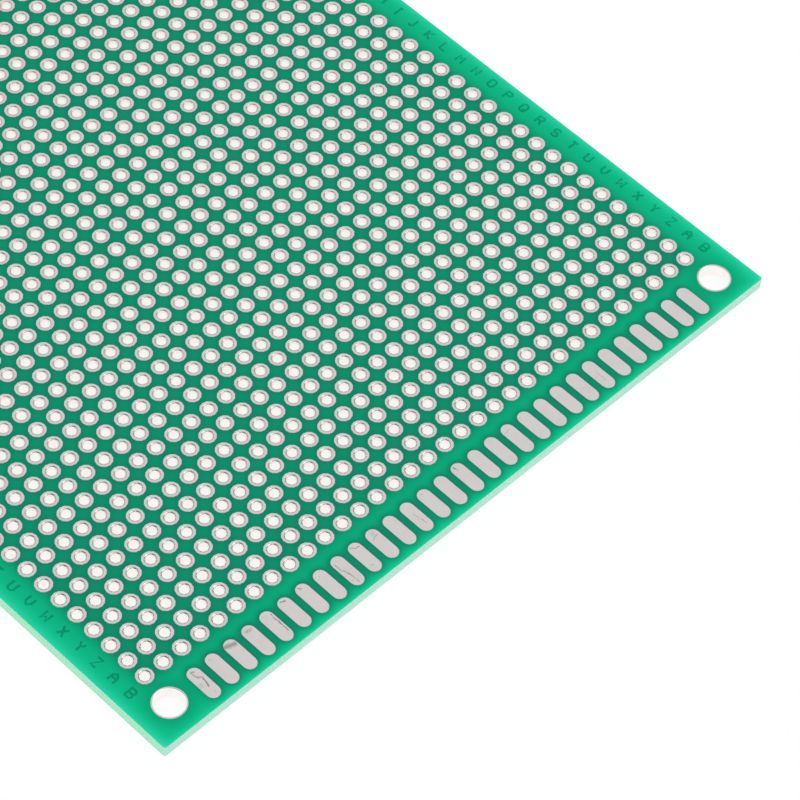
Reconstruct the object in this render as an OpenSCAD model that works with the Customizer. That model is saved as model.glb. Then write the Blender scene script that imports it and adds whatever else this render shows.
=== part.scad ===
// Bare double-sided prototyping board: a laminate drilled on a square grid, a plated hole with a
// round pad on both faces at every grid point, a row of oblong pads along each short end, and a
// plated mounting hole in each corner.
// The board lies flat: the origin is the middle of its underside, X runs along its length,
// Y across its width and Z up through its thickness.

/* [Board] */
// Length of the board, along X
board_length = 150; // [60:0.5:150]
// Width of the board, along Y
board_width = 90; // [40:0.5:90]
// Thickness of the board, from pad face to pad face
board_thickness = 1.6; // [0.8:0.1:3.2]
// Height by which every pad stands on the laminate, on each face
pad_thickness = 0.04; // [0.03:0.01:0.1]

/* [Grid of plated holes] */
// Distance between neighbouring holes, both ways
pitch = 2.54; // [2.4:0.01:5.08]
// Diameter of a hole inside its plating
hole_diameter = 1.1; // [0.7:0.05:1.3]
// Thickness of the plating on a hole's wall
plating = 0.05; // [0.03:0.01:0.1]
// Diameter of the round pad about each hole
pad_diameter = 2; // [1.6:0.05:2.2]
// Least width of the plain strip between a long edge and the grid's outermost pads
side_strip = 3.3; // [2.5:0.1:8]

/* [Oblong pads] */
// Length of an oblong pad, along X
oblong_length = 4.4; // [2.5:0.1:8]
// Width of an oblong pad
oblong_width = 1.63; // [1:0.01:2]
// Distance from the board's end to an oblong pad's outer tip
oblong_inset = 0.85; // [0.5:0.05:3]
// Least gap between an oblong pad's inner tip and the pads of the grid's end row
oblong_to_grid = 1.2; // [0.6:0.1:8]

/* [Mounting holes] */
// Diameter of a corner mounting hole inside its plating
mount_diameter = 3.4; // [2.5:0.1:4.1]
// Width of the tinned ring about a mounting hole, on each face
mount_ring = 0.2; // [0.15:0.05:0.4]
// Distance from a long edge to a mounting hole's centre
mount_from_side = 4; // [3:0.05:4.5]
// Distance from an end to a mounting hole's centre
mount_from_end = 3.65; // [3:0.05:4.5]
// Least gap between a mounting hole's ring and any pad beside it
mount_gap = 1.05; // [0.6:0.05:5]

/* [Hidden] */
// Where the mounting holes lie, and how far in from the board's sides and ends they keep pads away
mount_x = board_length / 2 - mount_from_end;
mount_y = board_width / 2 - mount_from_side;
mount_pad_diameter = mount_diameter + 2 * mount_ring;
mount_reach = mount_pad_diameter / 2 + mount_gap;

// The grid is centred, and holds as many whole pitches as fit between its least margins.
side_margin = side_strip + pad_diameter / 2;
end_strip = max(oblong_inset + oblong_length + oblong_to_grid, mount_from_end + mount_reach);
end_margin = end_strip + pad_diameter / 2;
columns = floor((board_width - 2 * side_margin) / pitch) + 1;
rows = floor((board_length - 2 * end_margin) / pitch) + 1;
row_xs = [for (row = [0:rows - 1]) (row - (rows - 1) / 2) * pitch];
column_ys = [for (column = [0:columns - 1]) (column - (columns - 1) / 2) * pitch];

// An oblong pad stands midway between two columns, wherever the mounting holes leave room.
oblong_x = board_length / 2 - oblong_inset - oblong_length / 2;
oblong_reach = mount_y - mount_reach - oblong_width / 2;
oblong_ys = [for (y = column_ys) if (abs(y + pitch / 2) <= oblong_reach) y + pitch / 2];

// Heights of the laminate's two faces, where the pads lie
core_bottom = pad_thickness;
core_top = board_thickness - pad_thickness;
// Facets of a drawn circle
$fn = 48;

PLATED = [for (column = [1:columns]) str("plated_holes_", column)];

// A hole is drilled wider than it ends up, by its plating.
function drilled(diameter) = diameter + 2 * plating;

// A flat shape with round ends, lying along X
module oblong(length, width) {
    square([length - width, width], center = true);
    for (side = [-1, 1]) translate([side * (length - width) / 2, 0]) circle(d = width);
}

// Glass-epoxy board with its green solder mask, drilled for the plated holes and the mounting screws
module laminate() {
    color([0.08, 0.62, 0.42])
        translate([0, 0, core_bottom]) linear_extrude(core_top - core_bottom) difference() {
            square([board_length, board_width], center = true);
            for (x = row_xs, y = column_ys) translate([x, y]) circle(d = drilled(hole_diameter));
            for (x = [-mount_x, mount_x], y = [-mount_y, mount_y])
                translate([x, y]) circle(d = drilled(mount_diameter));
        }
}

// A tinned copper barrel through the board, with a round pad on both faces
module plated_hole(bore_diameter, face_diameter) {
    bore = bore_diameter / 2;
    drill = drilled(bore_diameter) / 2;
    pad = face_diameter / 2;
    rotate_extrude() polygon([
        [bore, 0], [pad, 0], [pad, core_bottom], [drill, core_bottom],
        [drill, core_top], [pad, core_top], [pad, board_thickness], [bore, board_thickness]
    ]);
}

// All the plated holes of one column, which runs along the board
module plated_holes(column) {
    color([0.8, 0.78, 0.78]) for (x = row_xs)
        translate([x, column_ys[column - 1], 0]) plated_hole(hole_diameter, pad_diameter);
}

// The four corner holes for the mounting screws
module plated_mounting_holes() {
    color([0.8, 0.78, 0.78]) for (x = [-mount_x, mount_x], y = [-mount_y, mount_y])
        translate([x, y, 0]) plated_hole(mount_diameter, mount_pad_diameter);
}

// The row of tinned copper pads at one end (side -1 or 1), on the face whose copper starts at bottom
module oblong_pads(side, bottom) {
    color([0.8, 0.78, 0.78]) for (y = oblong_ys)
        translate([side * oblong_x, y, bottom])
            linear_extrude(pad_thickness) oblong(oblong_length, oblong_width);
}

laminate();
for (column = [1:columns]) plated_holes(column);
plated_mounting_holes();
oblong_pads(-1, core_top);  // oblong_pads_left_top
oblong_pads(-1, 0);  // oblong_pads_left_bottom
oblong_pads(1, core_top);  // oblong_pads_right_top
oblong_pads(1, 0);  // oblong_pads_right_bottom
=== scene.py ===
import math

import bpy
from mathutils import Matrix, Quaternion, Vector


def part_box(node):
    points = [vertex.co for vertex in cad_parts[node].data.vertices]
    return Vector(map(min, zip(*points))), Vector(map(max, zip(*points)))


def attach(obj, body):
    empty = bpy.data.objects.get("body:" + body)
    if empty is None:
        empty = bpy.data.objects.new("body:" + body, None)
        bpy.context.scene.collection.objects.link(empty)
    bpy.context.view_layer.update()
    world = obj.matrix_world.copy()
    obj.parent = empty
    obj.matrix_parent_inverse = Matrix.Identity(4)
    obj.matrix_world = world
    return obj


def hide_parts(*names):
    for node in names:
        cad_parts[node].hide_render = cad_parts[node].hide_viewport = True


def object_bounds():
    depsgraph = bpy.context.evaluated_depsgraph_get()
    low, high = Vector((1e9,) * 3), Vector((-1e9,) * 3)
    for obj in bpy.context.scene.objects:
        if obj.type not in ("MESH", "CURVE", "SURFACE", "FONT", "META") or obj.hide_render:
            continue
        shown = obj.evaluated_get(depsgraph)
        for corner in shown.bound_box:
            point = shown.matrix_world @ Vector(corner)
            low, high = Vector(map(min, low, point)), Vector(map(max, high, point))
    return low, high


# A bare double-sided prototyping board: a green lacquered glass-epoxy laminate with a square grid of
# plated holes, a row of oblong pads along each short end and a plated mounting hole in each corner.
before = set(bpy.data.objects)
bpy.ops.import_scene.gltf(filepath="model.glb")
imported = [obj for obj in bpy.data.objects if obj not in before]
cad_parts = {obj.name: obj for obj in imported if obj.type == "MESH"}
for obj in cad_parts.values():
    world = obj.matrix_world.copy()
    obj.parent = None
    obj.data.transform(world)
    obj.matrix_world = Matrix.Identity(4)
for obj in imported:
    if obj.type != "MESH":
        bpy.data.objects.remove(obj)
cad_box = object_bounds()
MM = 0.001


# ---- Laminate ----
# The board's body: woven glass cloth in epoxy, pressed into a flat sheet. It is drilled for every hole
# and sawn to size, and its pale fibres show only at the cut edges.
board_low, board_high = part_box("laminate")
half_length, half_width = board_high.x, board_high.y
lacquer = 0.03 * MM
weld = 0.005 * MM
core_low, core_high = board_low.z + lacquer, board_high.z - lacquer
arris = 0.25 * MM

column_count = sum(name.startswith("plated_holes_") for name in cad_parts)
last_low, last_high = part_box(f"plated_holes_{column_count}")
pad_radius = (last_high.y - last_low.y) / 2
grid_x, grid_y = last_high.x - pad_radius, last_high.y - pad_radius
pitch = 2 * grid_y / (column_count - 1)
row_count = round(2 * grid_x / pitch) + 1
core_hole_radius = 0.65 * MM
core_hole_sides = 8

mounts_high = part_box("plated_mounting_holes")[1]
mount_ring_radius = 1.9 * MM
mount_drill_radius = 1.75 * MM
mount_x, mount_y = mounts_high.x - mount_ring_radius, mounts_high.y - mount_ring_radius
mount_sides = 48

oblong_low, oblong_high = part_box("oblong_pads_right_top")
oblong_width = 1.63 * MM
oblong_length = oblong_high.x - oblong_low.x
oblong_x = (oblong_high.x + oblong_low.x) / 2
oblong_y = oblong_high.y - oblong_width / 2
oblong_count = round(2 * oblong_y / pitch) + 1


def add(tree, kind, wires=(), **settings):
    """Adds a node with these settings, and gives each input a value or another node's output."""
    made = tree.nodes.new(kind)
    for name, value in settings.items():
        setattr(made, name, value)
    for name, value in dict(wires).items():
        if isinstance(value, bpy.types.NodeSocket):
            tree.links.new(value, made.inputs[name])
        else:
            made.inputs[name].default_value = value
    return made


def new_tree(name, sockets):
    """An empty geometry tree with these inputs, and its input node's outputs."""
    tree = bpy.data.node_groups.new(name, "GeometryNodeTree")
    for socket, kind in sockets.items():
        tree.interface.new_socket(socket, in_out="INPUT", socket_type="NodeSocket" + kind)
    tree.interface.new_socket("Geometry", in_out="OUTPUT", socket_type="NodeSocketGeometry")
    return tree, add(tree, "NodeGroupInput").outputs


def finish_tree(tree, geometry, material):
    """Ends a tree in plain geometry with one material."""
    real = add(tree, "GeometryNodeRealizeInstances", {"Geometry": geometry}).outputs[0]
    painted = add(tree, "GeometryNodeSetMaterial", {"Geometry": real, "Material": material}).outputs[0]
    add(tree, "NodeGroupOutput", {"Geometry": painted})


def grown(name, start, tree, values):
    """A plain mesh piece, grown by a geometry tree from a starting mesh."""
    piece = bpy.data.objects.new(name, start)
    bpy.context.collection.objects.link(piece)
    modifier = piece.modifiers.new(tree.name, "NODES")
    modifier.node_group = tree
    for socket in tree.interface.items_tree:
        if socket.in_out == "INPUT" and socket.name in values:
            modifier[socket.identifier] = values[socket.name]
    bpy.context.view_layer.update()
    evaluated = piece.evaluated_get(bpy.context.evaluated_depsgraph_get())
    piece.data = bpy.data.meshes.new_from_object(evaluated)
    piece.modifiers.clear()
    piece.data.name = name
    return piece


def spread(tree, shape, size_x, size_y, count_x, count_y):
    """Instances of a shape on a grid centred on the origin."""
    points = add(tree, "GeometryNodeMeshGrid", {
        "Size X": size_x, "Size Y": size_y, "Vertices X": count_x, "Vertices Y": count_y}).outputs["Mesh"]
    return add(tree, "GeometryNodeInstanceOnPoints", {"Points": points, "Instance": shape}).outputs[0]


def filled(tree, *curves):
    """A flat mesh of triangles inside the outermost of these curves and outside the others."""
    joined = add(tree, "GeometryNodeJoinGeometry")
    for curve in curves:
        tree.links.new(curve, joined.inputs[0])
    real = add(tree, "GeometryNodeRealizeInstances", {"Geometry": joined.outputs[0]}).outputs[0]
    return add(tree, "GeometryNodeFillCurve", {"Curve": real}, mode="TRIANGLES").outputs[0]


def rectangle(tree, length, width):
    """A rectangle's outline about the origin."""
    return add(tree, "GeometryNodeCurvePrimitiveQuadrilateral", {"Width": length, "Height": width}).outputs[0]


def rounded(tree, outline, radius, steps):
    """An outline with its corners rounded."""
    return add(tree, "GeometryNodeFilletCurve", {
        "Curve": outline, "Count": steps, "Radius": radius}, mode="POLY").outputs[0]


def circle(tree, radius, sides):
    """A circle's outline about the origin."""
    return add(tree, "GeometryNodeCurvePrimitiveCircle", {"Resolution": sides, "Radius": radius}).outputs[0]


def sheet_tree():
    """A sheet cut to the board's outline, with a window of some size at every hole and oblong pad."""
    tree, given = new_tree("drilled_sheet", {
        "Bottom": "Float", "Thickness": "Float", "Hole radius": "Float", "Hole sides": "Int",
        "Mount radius": "Float", "Oblong window": "Bool", "Material": "Material"})
    hole = circle(tree, given["Hole radius"], given["Hole sides"])
    cell = filled(tree, rectangle(tree, pitch, pitch), hole)
    cells = spread(tree, cell, 2 * grid_x, 2 * grid_y, row_count, column_count)
    field = add(tree, "GeometryNodeResampleCurve", {
        "Curve": rectangle(tree, row_count * pitch, column_count * pitch),
        "Count": 2 * (row_count + column_count)}).outputs[0]
    oblong = rounded(tree, rectangle(tree, oblong_length, oblong_width), oblong_width / 2 * 0.999, 7)
    oblongs = add(tree, "GeometryNodeSwitch", {
        "Switch": given["Oblong window"],
        "True": spread(tree, oblong, 2 * oblong_x, 2 * oblong_y, 2, oblong_count)},
        input_type="GEOMETRY").outputs[0]
    mounts = spread(tree, circle(tree, given["Mount radius"], mount_sides), 2 * mount_x, 2 * mount_y, 2, 2)
    outline = rounded(tree, rectangle(tree, 2 * half_length, 2 * half_width), arris, 3)
    flat = add(tree, "GeometryNodeJoinGeometry")
    for part in (filled(tree, outline, field, oblongs, mounts), cells):
        tree.links.new(part, flat.inputs[0])
    flat = add(tree, "GeometryNodeRealizeInstances", {"Geometry": flat.outputs[0]}).outputs[0]
    flat = add(tree, "GeometryNodeMergeByDistance", {"Geometry": flat, "Distance": weld}).outputs[0]
    lift = add(tree, "ShaderNodeCombineXYZ", {"Z": given["Bottom"]}).outputs[0]
    flat = add(tree, "GeometryNodeTransform", {"Geometry": flat, "Translation": lift}).outputs[0]
    rise = add(tree, "ShaderNodeCombineXYZ", {"Z": given["Thickness"]}).outputs[0]
    raised = add(tree, "GeometryNodeExtrudeMesh", {
        "Mesh": flat, "Offset": rise, "Offset Scale": 1.0, "Individual": False}).outputs["Mesh"]
    whole = add(tree, "GeometryNodeJoinGeometry")
    for part in (raised, add(tree, "GeometryNodeFlipFaces", {"Mesh": flat}).outputs[0]):
        tree.links.new(part, whole.inputs[0])
    welded = add(tree, "GeometryNodeMergeByDistance", {
        "Geometry": whole.outputs[0], "Distance": weld}).outputs[0]
    finish_tree(tree, welded, given["Material"])
    return tree


def new_material(name):
    """A material with nodes, its tree, its shader and the piece's own coordinates."""
    material = bpy.data.materials.new(name)
    material.use_nodes = True
    tree = material.node_tree
    return material, tree, tree.nodes["Principled BSDF"], add(tree, "ShaderNodeTexCoord").outputs["Object"]


def maths(tree, operation, first, second=0.0, third=0.0):
    """The output of a Math node."""
    return add(tree, "ShaderNodeMath", {0: first, 1: second, 2: third}, operation=operation).outputs[0]


def srgb(red, green, blue):
    """A colour as painted, 0 to 255, in the linear values that a shader takes."""
    levels = [level / 255 for level in (red, green, blue)]
    return [((v + 0.055) / 1.055) ** 2.4 if v > 0.04045 else v / 12.92 for v in levels] + [1.0]


def ramp(tree, fac, stops):
    """A colour ramp with these places and colours."""
    made = add(tree, "ShaderNodeValToRGB", {"Fac": fac})
    elements = made.color_ramp.elements
    elements[0].position, elements[0].color = stops[0]
    elements[1].position, elements[1].color = stops[-1]
    for place, colour in stops[1:-1]:
        elements.new(place).color = colour
    return made.outputs["Color"]


def glass_epoxy():
    """Sawn glass epoxy: fine plies along the edge, in a pale green that is deeper along the long sides."""
    material, tree, shader, place = new_material("glass_epoxy")
    plies = add(tree, "ShaderNodeMapping", {"Vector": place, "Scale": (60, 60, 4200)}).outputs[0]
    layers = add(tree, "ShaderNodeTexNoise", {
        "Vector": plies, "Scale": 1.0, "Detail": 2.0, "Roughness": 0.6}).outputs["Fac"]
    fibres = add(tree, "ShaderNodeTexNoise", {"Vector": place, "Scale": 5200.0, "Detail": 3.0}).outputs["Fac"]
    mixed = maths(tree, "MULTIPLY_ADD", fibres, 0.35, maths(tree, "MULTIPLY", layers, 0.65))
    colour = ramp(tree, mixed, [(0.3, srgb(179, 228, 208)), (0.5, srgb(188, 234, 217)),
                                (0.7, srgb(196, 237, 223))])
    facing = add(tree, "ShaderNodeNewGeometry").outputs["Normal"]
    long_side = maths(tree, "ABSOLUTE", add(tree, "ShaderNodeSeparateXYZ", {0: facing}).outputs["Y"])
    colour = add(tree, "ShaderNodeMixRGB", {
        "Fac": long_side, "Color1": colour, "Color2": (0.81, 1.0, 0.83, 1.0)},
        blend_type="MULTIPLY").outputs[0]
    bump = add(tree, "ShaderNodeBump", {"Height": mixed, "Strength": 0.3, "Distance": 0.01 * MM}).outputs[0]
    tree.links.new(colour, shader.inputs["Base Color"])
    tree.links.new(bump, shader.inputs["Normal"])
    shader.inputs["Roughness"].default_value = 0.6
    shader.inputs["Specular IOR Level"].default_value = 0.25
    return material


drilled_sheet = sheet_tree()
core = grown("laminate_core", bpy.data.meshes.new("laminate_core"), drilled_sheet, {
    "Bottom": core_low, "Thickness": core_high - core_low, "Hole radius": core_hole_radius,
    "Hole sides": core_hole_sides, "Mount radius": mount_drill_radius, "Oblong window": False,
    "Material": glass_epoxy()})
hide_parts("laminate")
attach(core, "root")


# ---- Solder mask ----
# A thin coat of green lacquer on each face, printed on the laminate and cured. It leaves every pad
# bare. Its colour holds painted light, brighter towards the board's edges, and painted shade
# where copper stops the light below it.
def grid_shade(tree, along, last, reach):
    """How much copper lies near, along one axis: a ripple over the grid that fades past its end."""
    turn = maths(tree, "MULTIPLY", maths(tree, "SUBTRACT", along, last), 2 * math.pi / pitch)
    even = math.sqrt(math.pi) * reach / pitch
    wave = 2 * even * math.exp(-(math.pi * reach / pitch) ** 2)
    ripple = maths(tree, "MULTIPLY_ADD", maths(tree, "COSINE", turn), wave, even)
    fade = add(tree, "ShaderNodeMapRange", {
        "Value": maths(tree, "ABSOLUTE", along), "From Min": last, "From Max": last + 0.8 * pitch,
        "To Min": 1.0, "To Max": 0.0}, interpolation_type="SMOOTHSTEP").outputs[0]
    return maths(tree, "MULTIPLY", ripple, fade)


def bell(tree, distance, reach):
    """1 at no distance, falling away as a bell curve."""
    scaled = maths(tree, "DIVIDE", distance, reach)
    return maths(tree, "EXPONENT", maths(tree, "MULTIPLY", maths(tree, "MULTIPLY", scaled, scaled), -1.0))


def edge_glow(tree, along, half, reach):
    """Light that comes in through a cut edge, 1 at the edge."""
    inward = maths(tree, "SUBTRACT", half, maths(tree, "ABSOLUTE", along))
    return maths(tree, "EXPONENT", maths(tree, "DIVIDE", inward, -reach))


def green_lacquer(name, dimming):
    """Green lacquer over the laminate, its colour painted with the light that comes through it, less some
    dimming.
    """
    material, tree, shader, place = new_material(name)
    axes = add(tree, "ShaderNodeSeparateXYZ", {0: place}).outputs
    plain_light, pad_shade, oblong_shade, mount_shade = 0.392, 0.24, 0.41, 0.06
    pad_reach, oblong_reach, end_reach = 1.26 * MM, 0.97 * MM, 0.9 * MM
    half_straight = 1.4 * MM
    pads = maths(tree, "MULTIPLY", grid_shade(tree, axes["X"], grid_x, pad_reach),
                 grid_shade(tree, axes["Y"], grid_y, pad_reach))
    from_middle = maths(tree, "ABSOLUTE", axes["X"])
    along_oblong = maths(tree, "ABSOLUTE", maths(tree, "SUBTRACT", from_middle, oblong_x))
    past_oblong = maths(tree, "MAXIMUM", maths(tree, "SUBTRACT", along_oblong, half_straight), 0.0)
    oblongs = maths(tree, "MULTIPLY", bell(tree, past_oblong, end_reach),
                    grid_shade(tree, axes["Y"], oblong_y, oblong_reach))
    to_mount_x = maths(tree, "SUBTRACT", from_middle, mount_x)
    to_mount_y = maths(tree, "SUBTRACT", maths(tree, "ABSOLUTE", axes["Y"]), mount_y)
    to_mount = add(tree, "ShaderNodeVectorMath", {
        0: add(tree, "ShaderNodeCombineXYZ", {"X": to_mount_x, "Y": to_mount_y}).outputs[0]},
        operation="LENGTH").outputs["Value"]
    mounts = bell(tree, maths(tree, "SUBTRACT", to_mount, mount_ring_radius), end_reach)
    # Painted shade where copper lies near, and painted light in from the cut edges, set the colour.
    light = maths(tree, "MULTIPLY_ADD", pads, -pad_shade, plain_light - dimming)
    light = maths(tree, "MULTIPLY_ADD", oblongs, -oblong_shade, light)
    light = maths(tree, "MULTIPLY_ADD", mounts, -mount_shade, light)
    long_edge = maths(tree, "MULTIPLY", edge_glow(tree, axes["Y"], half_width, 1.2 * MM), 0.25)
    short_edge = maths(tree, "MULTIPLY", edge_glow(tree, axes["X"], half_length, 0.8 * MM), 0.2)
    light = maths(tree, "ADD", light, maths(tree, "MAXIMUM", long_edge, short_edge))
    light = maths(tree, "MULTIPLY_ADD", maths(tree, "MINIMUM", long_edge, short_edge), 0.4, light)
    clouds = add(tree, "ShaderNodeTexNoise", {"Vector": place, "Scale": 260.0, "Detail": 2.0}).outputs["Fac"]
    light = maths(tree, "MULTIPLY_ADD", maths(tree, "SUBTRACT", clouds, 0.5), 0.03, light)
    colour = ramp(tree, light, [
        (0.1, srgb(12, 100, 80)), (0.205, srgb(14, 124, 97)), (0.27, srgb(4, 141, 103)),
        (0.356, srgb(2, 160, 115)), (0.479, srgb(6, 183, 131)), (0.624, srgb(34, 206, 160)),
        (0.85, srgb(104, 230, 190))])
    flow = add(tree, "ShaderNodeTexNoise", {"Vector": place, "Scale": 900.0, "Detail": 1.0}).outputs["Fac"]
    bump = add(tree, "ShaderNodeBump", {"Height": flow, "Strength": 0.15, "Distance": 0.01 * MM}).outputs[0]
    gloss = add(tree, "ShaderNodeMapRange", {"Value": clouds, "To Min": 0.26, "To Max": 0.38}).outputs[0]
    tree.links.new(colour, shader.inputs["Base Color"])
    tree.links.new(bump, shader.inputs["Normal"])
    tree.links.new(gloss, shader.inputs["Roughness"])
    shader.inputs["Specular IOR Level"].default_value = 0.06
    return material


lacquer_finish = green_lacquer("green_lacquer", 0.0)
hole_sides = 12
for face, bottom in (("top", core_high), ("bottom", board_low.z)):
    mask = grown(f"solder_mask_{face}", bpy.data.meshes.new(face), drilled_sheet, {
        "Bottom": bottom, "Thickness": lacquer, "Hole radius": pad_radius, "Hole sides": hole_sides,
        "Mount radius": mount_ring_radius, "Oblong window": True, "Material": lacquer_finish})
    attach(mask, "root")


# ---- Index letters ----
# A letter beside every row of holes, along both long edges of the upper face. Each is a thin copper
# track under the lacquer, which it lifts a little; the lacquer over it is darker with painted shade,
# where the copper stops the light below it.
glyphs = {
    "A": "00 04 15 26 35 44 40, 03 43", "B": "00 06 36 45 44 33 03, 33 42 41 30 00",
    "C": "45 36 16 05 01 10 30 41", "D": "00 06 26 44 42 20 00", "E": "46 06 00 40, 03 33",
    "F": "46 06 00, 03 33", "G": "45 36 16 05 01 10 30 41 43 23", "H": "00 06, 40 46, 03 43",
    "I": "20 26, 10 30, 16 36", "J": "01 10 20 31 36", "K": "00 06, 46 03 40", "L": "06 00 40",
    "M": "00 06 23 46 40", "N": "00 06 40 46", "O": "10 01 05 16 36 45 41 30 10",
    "P": "00 06 36 45 44 33 03", "Q": "10 01 05 16 36 45 41 30 10, 22 40",
    "R": "00 06 36 45 44 33 03, 23 40", "S": "45 36 16 05 04 13 33 42 41 30 10 01", "T": "06 46, 26 20",
    "U": "06 01 10 30 41 46", "V": "06 02 20 42 46", "W": "06 00 23 40 46", "X": "00 46, 06 40",
    "Y": "06 23 46, 23 20", "Z": "06 46 00 40"}
letter_unit = 0.19 * MM
track_width = 0.26 * MM


def stroke_tree():
    """Flat rounded tracks along the edges of the starting mesh."""
    tree, given = new_tree("covered_tracks", {
        "Geometry": "Geometry", "Width": "Float", "Thickness": "Float", "Material": "Material"})
    paths = add(tree, "GeometryNodeMeshToCurve", {"Mesh": given["Geometry"]}).outputs[0]
    level = add(tree, "GeometryNodeSetCurveNormal", {"Curve": paths}, mode="Z_UP").outputs[0]
    size = add(tree, "ShaderNodeCombineXYZ", {"X": given["Width"], "Y": given["Thickness"]}).outputs[0]
    section = add(tree, "GeometryNodeTransform", {"Geometry": circle(tree, 0.5, 8), "Scale": size}).outputs[0]
    tracks = add(tree, "GeometryNodeCurveToMesh", {
        "Curve": level, "Profile Curve": section, "Fill Caps": True}).outputs[0]
    finish_tree(tree, tracks, given["Material"])
    return tree


def letter_paths(name, shift, middle):
    """The strokes of all the letters along one edge, each letter a shift past its row of holes."""
    points, edges = [], []
    for row in range(row_count):
        for stroke in glyphs[sorted(glyphs)[row % len(glyphs)]].split(","):
            for number, (across, up) in enumerate(stroke.split()):
                if number:
                    edges.append((len(points) - 1, len(points)))
                points.append((row * pitch - grid_x + shift + (int(across) - 2) * letter_unit,
                               middle + (int(up) - 3) * letter_unit, board_high.z))
    mesh = bpy.data.meshes.new(name)
    mesh.from_pydata(points, edges, [])
    return mesh


covered_tracks = stroke_tree()
# The lacquer over the tracks has more painted shade, where the copper stops the light below it.
track_finish = green_lacquer("lacquer_over_copper", 0.17)
lettering = {"front": (0.6 * MM, 1.93 * MM - half_width), "back": (0.38 * MM, half_width - 1.51 * MM)}
for edge, (shift, middle) in lettering.items():
    letters = grown(f"index_letters_{edge}", letter_paths(edge, shift, middle), covered_tracks, {
        "Width": track_width, "Thickness": lacquer, "Material": track_finish})
    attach(letters, "root")


# ---- Plated holes ----
# Each hole is a copper barrel with a round pad on both faces. The whole board was dipped in hot tin
# and blown clean, so bright tin slopes into every mouth and off every pad's rim.
plating = 0.05 * MM
rim_width = 0.04 * MM


def hole_mesh(name, pad, bore, lip, sides):
    """One plated hole about the Z axis: a pad on each face, and a barrel with a sloping lip at its mouth.

    Every line round it is crisp except where the lip starts, so the tin turns softly there."""
    drill, rim = bore + plating, pad + rim_width
    bottom, top = cad_box[0].z, cad_box[1].z
    lip_start = (bore + lip, top)
    ring = [(drill, core_high), (rim, core_high), (pad, top), lip_start,
            (bore + 0.5 * lip, top - 0.25 * lip), (bore, bottom),
            (pad, bottom), (rim, core_low), (drill, core_low)]
    points, faces = [], []
    for side in range(sides):
        turn = 2 * math.pi * side / sides
        points += [(radius * math.cos(turn), radius * math.sin(turn), height) for radius, height in ring]
        for step in range(len(ring)):
            here, there = side * len(ring), (side + 1) % sides * len(ring)
            after = (step + 1) % len(ring)
            faces.append((here + step, there + step, there + after, here + after))
    mesh = bpy.data.meshes.new(name)
    mesh.from_pydata(points, [], faces)
    mesh.shade_smooth()
    for edge in mesh.edges:
        first, second = (corner % len(ring) for corner in edge.vertices)
        edge.use_edge_sharp = first == second and ring[first] != lip_start
    return mesh


def row_tree():
    """Copies of the starting mesh on a centred grid of points, moved to a place."""
    tree, given = new_tree("repeated_piece", {
        "Geometry": "Geometry", "Size X": "Float", "Size Y": "Float", "Count X": "Int", "Count Y": "Int",
        "Place": "Vector", "Material": "Material"})
    copies = spread(tree, given["Geometry"], given["Size X"], given["Size Y"],
                    given["Count X"], given["Count Y"])
    placed = add(tree, "GeometryNodeTransform", {
        "Geometry": copies, "Translation": given["Place"]}).outputs[0]
    finish_tree(tree, placed, given["Material"])
    return tree


def tinned_copper(name):
    """Hot-dipped tin: bright, faintly warm, with the soft unevenness of cooled metal."""
    material, tree, shader, place = new_material(name)
    cooled = add(tree, "ShaderNodeTexNoise", {"Vector": place, "Scale": 700.0, "Detail": 3.0}).outputs["Fac"]
    grain = add(tree, "ShaderNodeTexNoise", {"Vector": place, "Scale": 6000.0, "Detail": 2.0}).outputs["Fac"]
    colour = ramp(tree, cooled, [(0.3, srgb(250, 243, 241)), (0.5, srgb(254, 248, 246)),
                                 (0.7, srgb(255, 251, 249))])
    rough = add(tree, "ShaderNodeMapRange", {"Value": cooled, "To Min": 0.14, "To Max": 0.3}).outputs[0]
    bump = add(tree, "ShaderNodeBump", {"Height": cooled, "Strength": 0.25, "Distance": 0.02 * MM}).outputs[0]
    bump = add(tree, "ShaderNodeBump", {
        "Height": grain, "Strength": 0.05, "Distance": 0.005 * MM, "Normal": bump}).outputs[0]
    tree.links.new(colour, shader.inputs["Base Color"])
    tree.links.new(rough, shader.inputs["Roughness"])
    tree.links.new(bump, shader.inputs["Normal"])
    shader.inputs["Metallic"].default_value = 1.0
    return material


repeated_piece = row_tree()
tin = tinned_copper("tinned_copper")
plated_hole = hole_mesh("plated_hole", pad_radius, 0.55 * MM, 0.23 * MM, hole_sides)
for number in range(1, column_count + 1):
    holes = grown(f"tinned_holes_{number}", plated_hole, repeated_piece, {
        "Size X": 2 * grid_x, "Size Y": 0.0, "Count X": row_count, "Count Y": 1,
        "Place": (0.0, (number - 1) * pitch - grid_y, 0.0), "Material": tin})
    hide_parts(f"plated_holes_{number}")
    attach(holes, "root")

mounting_hole = hole_mesh("mounting_hole", mount_ring_radius, 1.7 * MM, 0.1 * MM, mount_sides)
mounts = grown("tinned_mounting_holes", mounting_hole, repeated_piece, {
    "Size X": 2 * mount_x, "Size Y": 2 * mount_y, "Count X": 2, "Count Y": 2,
    "Place": (0.0, 0.0, 0.0), "Material": tin})
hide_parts("plated_mounting_holes")
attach(mounts, "root")


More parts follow.
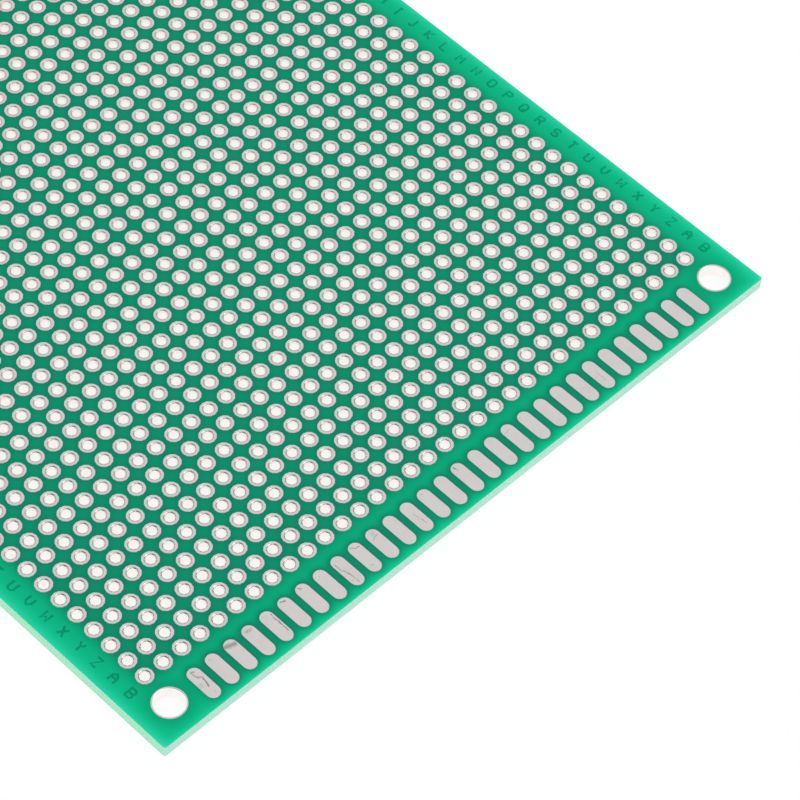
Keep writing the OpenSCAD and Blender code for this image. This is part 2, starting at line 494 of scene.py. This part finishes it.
# ---- Oblong pads ----
# A row of long pads at each short end, on both faces, for edge connectors and wires. They are the
# same tinned copper as the rings, and the broad faces of one row show rubs and scratches.
def oblong_mesh(bottom, top):
    """One oblong pad with a bevelled rim at the height top, above or below its foot at bottom."""
    out = 1 if top > bottom else -1
    rise = top - bottom
    rings = [(0.0, bottom), (0.0, bottom + 0.45 * rise), (0.03 * MM, bottom + 0.85 * rise), (0.1 * MM, top)]
    arc = 8
    points, faces = [], []
    for inset, height in rings:
        radius = oblong_width / 2 - inset
        for end in (1, -1):
            for step in range(arc + 1):
                turn = math.pi * (step / arc - 0.5)
                points.append((end * (oblong_length / 2 - oblong_width / 2 + radius * math.cos(turn)),
                               end * radius * math.sin(turn), height))
    size = 2 * (arc + 1)
    for ring in range(len(rings) - 1):
        for step in range(size):
            after = (step + 1) % size
            faces.append((ring * size + step, ring * size + after,
                          (ring + 1) * size + after, (ring + 1) * size + step)[::out])
    faces.append(tuple(range(size))[::-out])
    faces.append(tuple(range((len(rings) - 1) * size, len(rings) * size))[::out])
    mesh = bpy.data.meshes.new("oblong_pad")
    mesh.from_pydata(points, [], faces)
    mesh.shade_smooth()
    for edge in mesh.edges:
        first, second = (corner // size for corner in edge.vertices)
        edge.use_edge_sharp = first == second
    return mesh


def streak(tree, spot, start, end, reach, depth):
    """How worn a spot is by one straight rub: its depth on the middle line, 0 beyond its reach."""
    from_start = add(tree, "ShaderNodeVectorMath", {0: spot, 1: start}, operation="SUBTRACT").outputs[0]
    along = add(tree, "ShaderNodeVectorMath", {
        0: from_start, 1: (end - start) / (end - start).length_squared}, operation="DOT_PRODUCT")
    share = add(tree, "ShaderNodeClamp", {"Value": along.outputs["Value"]}).outputs[0]
    foot = add(tree, "ShaderNodeVectorMath", {0: end - start, "Scale": share}, operation="SCALE").outputs[0]
    off = add(tree, "ShaderNodeVectorMath", {0: from_start, 1: foot}, operation="DISTANCE").outputs["Value"]
    return add(tree, "ShaderNodeMapRange", {
        "Value": off, "From Max": reach, "To Min": depth, "To Max": 0.0},
        interpolation_type="SMOOTHSTEP").outputs[0]


def rubbed_tin(rubs):
    """Tinned copper with rubs and scratches, whose paths are in millimetres about their pad's middle."""
    material = tinned_copper("rubbed_tin")
    tree = material.node_tree
    place = add(tree, "ShaderNodeTexCoord").outputs["Object"]
    waver = add(tree, "ShaderNodeTexNoise", {
        "Vector": place, "Scale": 2500.0, "Detail": 2.0}).outputs["Color"]
    waver = add(tree, "ShaderNodeVectorMath", {
        0: waver, 1: (0.5, 0.5, 0.5)}, operation="SUBTRACT").outputs[0]
    waver = add(tree, "ShaderNodeVectorMath", {0: waver, "Scale": 0.35 * MM}, operation="SCALE").outputs[0]
    spot = add(tree, "ShaderNodeVectorMath", {0: place, 1: waver}, operation="ADD").outputs[0]
    worn = 0.0
    for pad, reach, depth, path in rubs:
        middle = Vector((oblong_x, pad * pitch - oblong_y, cad_box[1].z))
        stops = [middle + Vector((*stop, 0)) * MM for stop in path]
        for start, end in zip(stops, stops[1:]):
            worn = maths(tree, "MAXIMUM", worn, streak(tree, spot, start, end, reach * MM, depth))
    base = tree.nodes["Principled BSDF"].inputs["Base Color"]
    colour = add(tree, "ShaderNodeMixRGB", {
        "Fac": worn, "Color1": base.links[0].from_socket, "Color2": srgb(126, 112, 106)}).outputs[0]
    tree.links.new(colour, base)
    return material


# Each rub: which pad from the front, half its width and its depth of colour, and its path.
rubs = [
    (0, 0.14, 0.6, [(-1.56, 0.17), (-1.75, -0.2), (-1.2, -0.22), (-0.75, 0.06), (-0.57, 0.36)]),
    (0, 0.16, 0.9, [(-0.4, 0.32), (0.6, 0.08)]),
    (0, 0.11, 0.5, [(1.5, 0.1), (1.55, 0.12)]),
    (0, 0.46, 0.2, [(0.05, -0.45), (0.2, -0.4)]),
    (1, 0.11, 0.5, [(-1.62, -0.3), (-1.4, -0.23)]),
    (2, 0.49, 0.6, [(-1.6, -0.55), (-1.42, -0.05), (-1.3, 0.45)]),
    (3, 0.36, 0.35, [(-1.56, -0.27), (-1.5, 0.26)]),
    (4, 0.11, 0.8, [(-1.44, 0.56), (-0.81, 0.48), (0.0, 0.5), (1.15, 0.52)]),
    (4, 0.12, 0.5, [(-1.6, 0.05), (-1.58, 0.06)]),
    (4, 0.12, 0.5, [(-1.66, -0.3), (-1.64, -0.28)]),
    (5, 0.14, 0.9, [(-1.85, -0.28), (-1.6, 0.22)]),
    (6, 0.14, 0.8, [(-1.85, -0.28), (-1.6, -0.1)]),
    (7, 0.09, 0.4, [(-1.37, -0.16), (-1.35, -0.15)]),
    (8, 0.09, 0.4, [(-1.64, -0.06), (-1.55, -0.03)]),
    (8, 0.11, 0.65, [(-1.46, -0.54), (-0.42, -0.44), (0.49, -0.12), (1.9, -0.06)]),
    (8, 0.09, 0.4, [(1.15, -0.55), (1.3, -0.45)]),
    (9, 0.09, 0.7, [(-1.88, -0.4), (-1.46, 0.0), (-1.35, 0.52)]),
    (9, 0.11, 0.4, [(1.15, -0.28), (1.35, 0.0)]),
    (10, 0.09, 0.75, [(-1.21, 0.5), (-0.85, -0.45)]),
    (10, 0.49, 0.15, [(-1.6, 0.1), (-1.2, 0.0)]),
    (12, 0.11, 0.5, [(-0.4, -0.06), (0.4, 0.05), (1.25, 0.24)]),
    (13, 0.11, 0.45, [(-1.69, -0.2), (-1.6, -0.05)]),
    (14, 0.09, 0.5, [(-1.64, -0.1), (-1.5, 0.05)]),
    (15, 0.14, 0.85, [(-1.85, -0.25), (-1.6, -0.2)]),
    (15, 0.11, 0.5, [(-1.5, -0.2), (-1.15, -0.15)]),
    (18, 0.09, 0.5, [(-1.4, 0.17), (-1.27, -0.6)]),
    (23, 0.08, 0.55, [(-0.45, 0.1), (0.3, 0.08), (1.06, 0.03)])]
rubbed_pads = rubbed_tin(rubs)
for side, way in (("left", -1), ("right", 1)):
    for face, bottom, top in (("top", core_high, cad_box[1].z), ("bottom", core_low, cad_box[0].z)):
        pads = grown(f"tinned_oblong_pads_{side}_{face}", oblong_mesh(bottom, top), repeated_piece, {
            "Size X": 0.0, "Size Y": 2 * oblong_y, "Count X": 1, "Count Y": oblong_count,
            "Place": (way * oblong_x, 0.0, 0.0),
            "Material": rubbed_pads if (side, face) == ("right", "top") else tin})
        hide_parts(f"oblong_pads_{side}_{face}")
        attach(pads, "root")


# ---- Camera ----
# Seen from above one corner, at a little over fifty degrees, through a long lens held slightly askew.
# The board's other end runs out of the picture.
aim = Vector((59.93, 3.21, 1.6)) * MM
distance = 397.4 * MM
azimuth, elevation, roll = (math.radians(angle) for angle in (40.43, 52.33, 5.73))
back = Vector((math.sin(azimuth) * math.cos(elevation), -math.cos(azimuth) * math.cos(elevation),
               math.sin(elevation)))
camera = bpy.data.objects.new("camera", bpy.data.cameras.new("camera"))
camera.data.lens = 167.1
camera.data.sensor_width = 36.0
camera.data.clip_start, camera.data.clip_end = 0.01, 10.0
camera.location = aim + back * distance
camera.rotation_mode = "QUATERNION"
camera.rotation_quaternion = (-back).to_track_quat("-Z", "Y") @ Quaternion((0, 0, 1), roll)
bpy.context.collection.objects.link(camera)
bpy.context.scene.camera = camera


# ---- Floor ----
# A matt white sheet under the board. The camera sees it nearly pure white, with a faint shadow left,
# and metal mirrors it as pure white.
def white_sheet():
    """Matt white with an added glow for what is seen directly or in gloss; it keeps its shadows."""
    material, tree, shader, place = new_material("white_sheet")
    path = add(tree, "ShaderNodeLightPath").outputs
    mirrored = maths(tree, "MAXIMUM", path["Is Glossy Ray"], path["Is Transmission Ray"])
    share = maths(tree, "MAXIMUM", mirrored, maths(tree, "MULTIPLY", path["Is Camera Ray"], 0.85))
    fleck = add(tree, "ShaderNodeTexNoise", {"Vector": place, "Scale": 40.0}).outputs["Fac"]
    paper = ramp(tree, fleck, [(0.0, (0.92, 0.92, 0.92, 1.0)), (1.0, (0.95, 0.95, 0.95, 1.0))])
    matt = add(tree, "ShaderNodeBsdfDiffuse", {"Color": paper}).outputs[0]
    glow = add(tree, "ShaderNodeEmission", {"Strength": 1.0}).outputs[0]
    both = add(tree, "ShaderNodeMixShader", {0: share, 1: matt, 2: glow})
    tree.links.new(both.outputs[0], tree.nodes["Material Output"].inputs["Surface"])
    tree.nodes.remove(shader)
    return material


floor_mesh = bpy.data.meshes.new("floor")
floor_reach = 3.0
floor_corners = ((-1, -1), (1, -1), (1, 1), (-1, 1))
floor_mesh.from_pydata([(x * floor_reach, y * floor_reach, 0.0) for x, y in floor_corners],
                       [], [(0, 1, 2, 3)])
floor_mesh.materials.append(white_sheet())
floor = bpy.data.objects.new("floor", floor_mesh)
bpy.context.collection.objects.link(floor)


# ---- Light ----
# A pale studio dome with one bright window in it. It is darker around the camera and in a gap between
# the screens. One broad soft lamp hangs beside the camera, and isn't itself mirrored.
def patch(tree, way, towards, reach):
    """1 in one direction of the dome, 0 further from it than a reach in degrees."""
    near = add(tree, "ShaderNodeVectorMath", {0: way, 1: towards.normalized()}, operation="DOT_PRODUCT")
    return add(tree, "ShaderNodeMapRange", {
        "Value": near.outputs["Value"], "From Min": math.cos(math.radians(reach)),
        "From Max": math.cos(math.radians(reach * 0.6))}, interpolation_type="SMOOTHSTEP").outputs[0]


world = bpy.data.worlds.new("studio")
world.use_nodes = True
sky = world.node_tree
way = add(sky, "ShaderNodeTexCoord").outputs["Generated"]
height = add(sky, "ShaderNodeSeparateXYZ", {0: way}).outputs["Z"]
dome = ramp(sky, height, [(0.0, (0.4, 0.4, 0.4, 1.0)), (0.3, (0.53, 0.53, 0.53, 1.0)),
                          (0.55, (0.63, 0.625, 0.635, 1.0)), (1.0, (0.66, 0.655, 0.665, 1.0))])
camera_side, far_gap = Vector((-0.1, -0.43, 0.86)), Vector((0.12, 0.91, 0.35))
window = Vector((0.46, 0.4, 0.8))
for towards, reach, level in ((camera_side, 28, 0.15), (far_gap, 24, 0.22), (window, 22, 1.7)):
    dome = add(sky, "ShaderNodeMixRGB", {
        "Fac": patch(sky, way, towards, reach), "Color1": dome,
        "Color2": (level, level, level, 1.0)}).outputs[0]
white = add(sky, "ShaderNodeRGB").outputs[0]
white.default_value = (1.0, 1.0, 1.0, 1.0)
seen = add(sky, "ShaderNodeLightPath").outputs["Is Camera Ray"]
shown = add(sky, "ShaderNodeMixRGB", {"Fac": seen, "Color1": dome, "Color2": white}).outputs[0]
sky.links.new(shown, sky.nodes["Background"].inputs["Color"])
bpy.context.scene.world = world

lamp = bpy.data.objects.new("soft_lamp", bpy.data.lights.new("soft_lamp", "SUN"))
lamp.data.energy = 1.6
lamp.data.angle = math.radians(30)
lamp.visible_glossy = False
lamp_azimuth, lamp_elevation = math.radians(25), math.radians(58)
lamp_way = Vector((math.sin(lamp_azimuth) * math.cos(lamp_elevation),
                   -math.cos(lamp_azimuth) * math.cos(lamp_elevation), math.sin(lamp_elevation)))
lamp.rotation_mode = "QUATERNION"
lamp.rotation_quaternion = (-lamp_way).to_track_quat("-Z", "Y")
bpy.context.collection.objects.link(lamp)

bpy.context.scene.view_settings.view_transform = "Standard"
